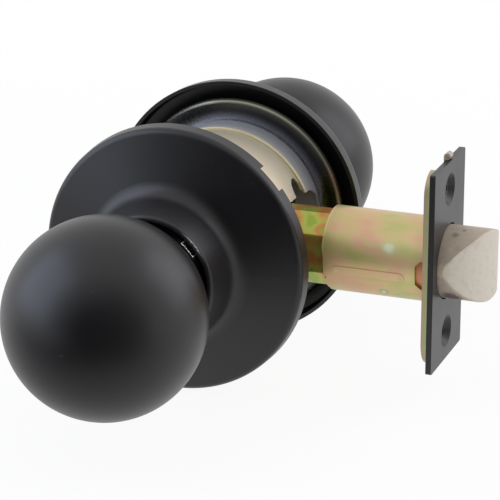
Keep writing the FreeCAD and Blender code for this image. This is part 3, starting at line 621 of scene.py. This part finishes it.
class LOCK_OT_studio(bpy.types.Operator):
    """Set the camera, lamps, world and pale floor"""
    bl_idname = "lock.studio"
    bl_label = "Studio"

    # Place and axes of the camera that was fitted to the photograph, in metres
    camera_place = Vector((0.2565, -0.6527, 0.2444))
    camera_right = Vector((0.9368, 0.3499, 0.0))
    camera_up = Vector((-0.1175, 0.3147, 0.9419))
    camera_back = Vector((0.3295, -0.8824, 0.3360))
    # Broad lamps: the place they face, the way to each, how far, and how large, in metres
    aim = Vector((0.0118, 0.0026, -0.0051))
    left_way = Vector((-0.775, -0.4, 0.49)).normalized()
    left_distance = 0.55
    left_size = (0.5, 0.5)
    right_way = Vector((0.701, 0.466, 0.537)).normalized()
    right_distance = 0.6
    right_size = (0.42, 0.5)
    # Narrow lamp on the edge of the inside catch window
    window_place = Vector((0.0111, -0.0432, 0.0101))
    snoot_way = Vector((0.5, -0.74, 0.45)).normalized()
    snoot_cone = math.radians(1.0)
    snoot_distance = 0.3
    snoot_radius = 4.0 * MM
    # Dark side of the mirrored surroundings: an oval in X and Z round the camera's side, its edge,
    # and how it ends behind the lock
    oval = {"Location": (-0.33, 0.0, -0.2), "Scale": (1.3, 0.0, 1.55)}
    oval_edge = {"From Min": 0.5, "From Max": 1.45, "To Min": 0.02}
    behind_lock = {"From Min": -0.3, "From Max": 0.0, "To Max": 1.5}
    # Floor: its gap below the roses, where it fades as shares of its radius, how white it looks
    # to the camera, and its mirrored level, dark towards the camera
    floor_drop = 0.5 * MM
    floor_segments = 96
    fade_start, fade_end = 0.35, 0.98
    floor_white = 0.92
    floor_mirror = {"From Min": -0.21, "From Max": -0.05, "To Min": 0.05, "To Max": 0.95}

    def add_camera(self, context):
        """Put the camera at the photograph's viewing angle."""
        data = bpy.data.cameras.new("Studio camera")
        data.lens = context.scene.lock_studio.lens
        data.sensor_width = 36.0
        data.clip_start = 0.01
        camera = bpy.data.objects.new("Studio camera", data)
        turn = Matrix((self.camera_right, self.camera_up, self.camera_back)).transposed()
        camera.matrix_world = Matrix.Translation(self.camera_place) @ turn.to_4x4()
        context.collection.objects.link(camera)
        context.scene.camera = camera

    def hang(self, context, data, place, way):
        """Hang a lamp at a place so that it shines against a way."""
        lamp = bpy.data.objects.new(data.name, data)
        lamp.location = place
        lamp.rotation_euler = way.to_track_quat("Z", "Y").to_euler()
        context.collection.objects.link(lamp)

    def add_softbox(self, context, name, way, distance, size, power, colour):
        """Hang a broad softbox that faces the lock."""
        data = bpy.data.lights.new(name, "AREA")
        data.shape = "RECTANGLE"
        data.size, data.size_y = size
        data.energy = power
        data.color = colour
        self.hang(context, data, self.aim + way * distance, way)

    def add_snoot(self, context):
        """Hang a lamp with a narrow cone that lights only the inside catch window."""
        data = bpy.data.lights.new("Snoot", "SPOT")
        data.energy = context.scene.lock_studio.snoot_power
        data.spot_size = self.snoot_cone
        data.spot_blend = 0.4
        data.shadow_soft_size = self.snoot_radius
        self.hang(context, data, self.window_place + self.snoot_way * self.snoot_distance,
                  self.snoot_way)

    def set_world(self, context):
        """White behind the lock and dark on the camera's side, with a plain level for the rest."""
        world = bpy.data.worlds.new("Studio")
        context.scene.world = world
        world.use_nodes = True
        tree = world.node_tree
        tree.nodes.clear()
        way = add_node(tree, "ShaderNodeTexCoord").outputs["Generated"]
        opening = add_node(tree, "ShaderNodeMapping", {"Vector": way, **self.oval})
        aside = add_node(tree, "ShaderNodeVectorMath", {0: opening.outputs[0]}, operation="LENGTH")
        depth = add_node(tree, "ShaderNodeSeparateXYZ", {"Vector": way})
        behind = add_node(tree, "ShaderNodeMapRange",
                          {"Value": depth.outputs["Y"], **self.behind_lock})
        off = add_node(tree, "ShaderNodeMath",
                       {0: aside.outputs["Value"], 1: behind.outputs[0]}, operation="ADD")
        level = add_node(tree, "ShaderNodeMapRange", {"Value": off.outputs[0], **self.oval_edge},
                         interpolation_type="SMOOTHSTEP")
        rays = add_node(tree, "ShaderNodeLightPath")
        seen = add_node(tree, "ShaderNodeMath",
                        {0: rays.outputs["Is Camera Ray"], 1: rays.outputs["Is Transmission Ray"]},
                        operation="MAXIMUM")
        white = linear("#ffffff")
        plain = add_node(tree, "ShaderNodeBackground",
                         {"Color": white, "Strength": context.scene.lock_studio.fill})
        mirrored = add_node(tree, "ShaderNodeBackground",
                            {"Color": white, "Strength": level.outputs[0]})
        backdrop = add_node(tree, "ShaderNodeBackground", {"Color": white, "Strength": 1.0})
        lit = add_node(tree, "ShaderNodeMixShader",
                       {0: rays.outputs["Is Glossy Ray"], 1: plain.outputs[0], 2: mirrored.outputs[0]})
        shown = add_node(tree, "ShaderNodeMixShader",
                         {0: seen.outputs[0], 1: lit.outputs[0], 2: backdrop.outputs[0]})
        add_node(tree, "ShaderNodeOutputWorld", {"Surface": shown.outputs[0]})

    def add_floor(self, context):
        """Lay a pale floor just under the roses; it shows white and keeps the soft shadow."""
        radius = context.scene.lock_studio.floor_radius
        mesh = bpy.data.meshes.new("floor")
        shape = bmesh.new()
        bmesh.ops.create_circle(shape, cap_ends=True, segments=self.floor_segments, radius=radius)
        bmesh.ops.translate(shape, verts=shape.verts, vec=(0, 0, CAD_BOX[0].z - self.floor_drop))
        shape.to_mesh(mesh)
        shape.free()
        floor = bpy.data.objects.new("floor", mesh)
        context.collection.objects.link(floor)
        # Matt paper: white to the eye with a faint shadow, and fading out before its rim
        material, tree, place = new_material("Pale matt paper")
        flat = add_node(tree, "ShaderNodeVectorMath", {0: place, 1: (1.0, 1.0, 0.0)},
                        operation="MULTIPLY")
        out = add_node(tree, "ShaderNodeVectorMath", {0: flat.outputs[0]}, operation="LENGTH")
        fade = add_node(tree, "ShaderNodeMapRange",
                        {"Value": out.outputs["Value"], "From Min": self.fade_start * radius,
                         "From Max": self.fade_end * radius}, interpolation_type="SMOOTHSTEP")
        depth = add_node(tree, "ShaderNodeSeparateXYZ", {"Vector": place})
        mirrored = add_node(tree, "ShaderNodeMapRange",
                            {"Value": depth.outputs["Y"], **self.floor_mirror},
                            interpolation_type="SMOOTHSTEP")
        rays = add_node(tree, "ShaderNodeLightPath")
        grain_size = 3.0 * MM
        grain = add_node(tree, "ShaderNodeTexNoise", {"Vector": place, "Scale": 1 / grain_size})
        paper = add_node(tree, "ShaderNodeValToRGB", {"Fac": grain.outputs["Fac"]},
                         ramp=[(0.3, "#eeeeee"), (0.7, "#f4f4f4")])
        diffuse = add_node(tree, "ShaderNodeBsdfDiffuse", {"Color": paper.outputs[0]})
        white = add_node(tree, "ShaderNodeEmission", {"Strength": 1.0})
        dim = add_node(tree, "ShaderNodeEmission", {"Strength": mirrored.outputs[0]})
        seen = add_node(tree, "ShaderNodeMath",
                        {0: rays.outputs["Is Camera Ray"], 1: self.floor_white}, operation="MULTIPLY")
        shadowed = add_node(tree, "ShaderNodeMixShader",
                            {0: seen.outputs[0], 1: diffuse.outputs[0], 2: white.outputs[0]})
        both = add_node(tree, "ShaderNodeMixShader",
                        {0: rays.outputs["Is Glossy Ray"], 1: shadowed.outputs[0], 2: dim.outputs[0]})
        clear = add_node(tree, "ShaderNodeBsdfTransparent")
        faded = add_node(tree, "ShaderNodeMixShader",
                         {0: fade.outputs[0], 1: both.outputs[0], 2: clear.outputs[0]})
        add_node(tree, "ShaderNodeOutputMaterial", {"Surface": faded.outputs[0]})
        mesh.materials.append(material)

    def execute(self, context):
        studio = context.scene.lock_studio
        self.add_camera(context)
        self.add_softbox(context, "Left softbox", self.left_way, self.left_distance, self.left_size,
                         studio.left_power, studio.left_colour)
        self.add_softbox(context, "Right softbox", self.right_way, self.right_distance,
                         self.right_size, studio.right_power, studio.right_colour)
        self.add_snoot(context)
        self.set_world(context)
        self.add_floor(context)
        context.scene.view_settings.view_transform = "Standard"
        return {"FINISHED"}


class LOCK_PT_panel(bpy.types.Panel):
    """Sidebar panel with the steps of the lock's looks"""
    bl_idname = "LOCK_PT_panel"
    bl_label = "Cylindrical lock"
    bl_space_type = "VIEW_3D"
    bl_region_type = "UI"
    bl_category = "Lock"

    def draw(self, context):
        for group in (context.scene.lock_finish, context.scene.lock_studio):
            for name in group.bl_rna.properties.keys():
                if name not in ("rna_type", "name"):
                    self.layout.prop(group, name)
        for step in STEPS:
            self.layout.operator(step.bl_idname)


STEPS = (LOCK_OT_painted, LOCK_OT_yellow_zinc, LOCK_OT_clear_zinc, LOCK_OT_bolt,
         LOCK_OT_window_edges, LOCK_OT_springs, LOCK_OT_studio)
GROUPS = (LockFinish, LockStudio)


def register():
    """Register the classes and their settings."""
    for part in GROUPS + STEPS + (LOCK_PT_panel,):
        bpy.utils.register_class(part)
    bpy.types.Scene.lock_finish = bpy.props.PointerProperty(type=LockFinish)
    bpy.types.Scene.lock_studio = bpy.props.PointerProperty(type=LockStudio)


def unregister():
    """Take the settings and classes away again."""
    del bpy.types.Scene.lock_studio
    del bpy.types.Scene.lock_finish
    for part in reversed(GROUPS + STEPS + (LOCK_PT_panel,)):
        bpy.utils.unregister_class(part)


def main():
    """Run every step in order."""
    register()
    bpy.ops.lock.painted()
    bpy.ops.lock.yellow_zinc()
    bpy.ops.lock.clear_zinc()
    bpy.ops.lock.bolt()
    bpy.ops.lock.window_edges()
    bpy.ops.lock.springs()
    bpy.ops.lock.studio()


if __name__ == "__main__":
    main()
